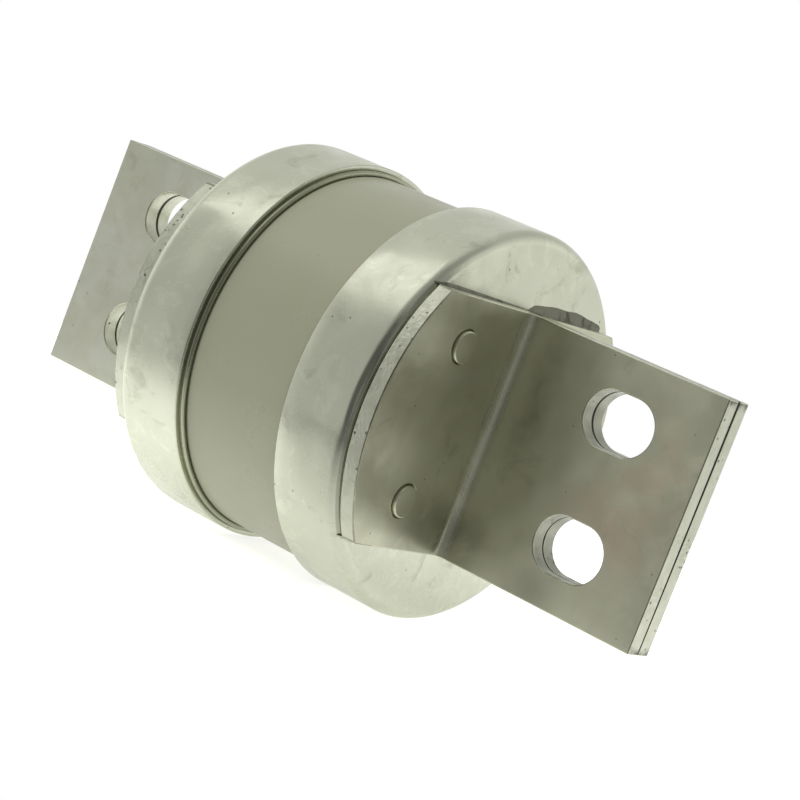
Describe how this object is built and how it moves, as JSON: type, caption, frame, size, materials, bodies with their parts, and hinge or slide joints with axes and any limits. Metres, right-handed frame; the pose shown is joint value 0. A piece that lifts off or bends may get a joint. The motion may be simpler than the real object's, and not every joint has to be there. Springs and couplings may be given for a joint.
{
  "type": "bolted tag fuse",
  "caption": "Squat cartridge fuse-link: ceramic barrel between drawn metal caps, with a laminated bolt-on tag with slotted holes standing out of each end.",
  "frame": {"origin": "middle of the fuse, on the axis of the barrel, in the joint between the plates of the tags", "axes": "+X along the fuse to the right tag, +Y through the thickness of the blades away from the front, +Z across the width of the blades"},
  "size_m": [0.1986, 0.0996, 0.0996],
  "materials": {
    "ceramic": "smooth, semi-matt, olive grey",
    "cap_metal": "drawn brass, tinned, satin",
    "inner_cap_metal": "drawn brass, tinned, dull",
    "tag_metal": "rolled copper, tinned, dull and lightly tarnished",
    "rivet_metal": "copper, tinned, dull",
    "braze_metal": "rough filler",
    "fibre": "pressed fibre",
    "quartz": "packed sand",
    "element_metal": "thin copper strip",
    "tin": "cast tin alloy"
  },
  "bodies": {
    "root": {"barrel": "ceramic", "outer_cap_left": "cap_metal", "outer_cap_right": "cap_metal", "inner_cap_left": "inner_cap_metal", "inner_cap_right": "inner_cap_metal", "tag_front_left": "tag_metal", "tag_rear_left": "tag_metal", "tag_front_right": "tag_metal", "tag_rear_right": "tag_metal", "rivets_left": "rivet_metal", "rivets_right": "rivet_metal", "braze_left": "braze_metal", "braze_right": "braze_metal", "washer_left": "fibre", "washer_right": "fibre", "filler_plug": "inner_cap_metal", "sand_fill": "quartz", "element_1": "element_metal", "element_2": "element_metal", "element_3": "element_metal", "element_4": "element_metal", "element_5": "element_metal", "element_6": "element_metal", "element_7": "element_metal", "element_8": "element_metal", "tin_deposits": "tin"}
  },
  "joints": []
}
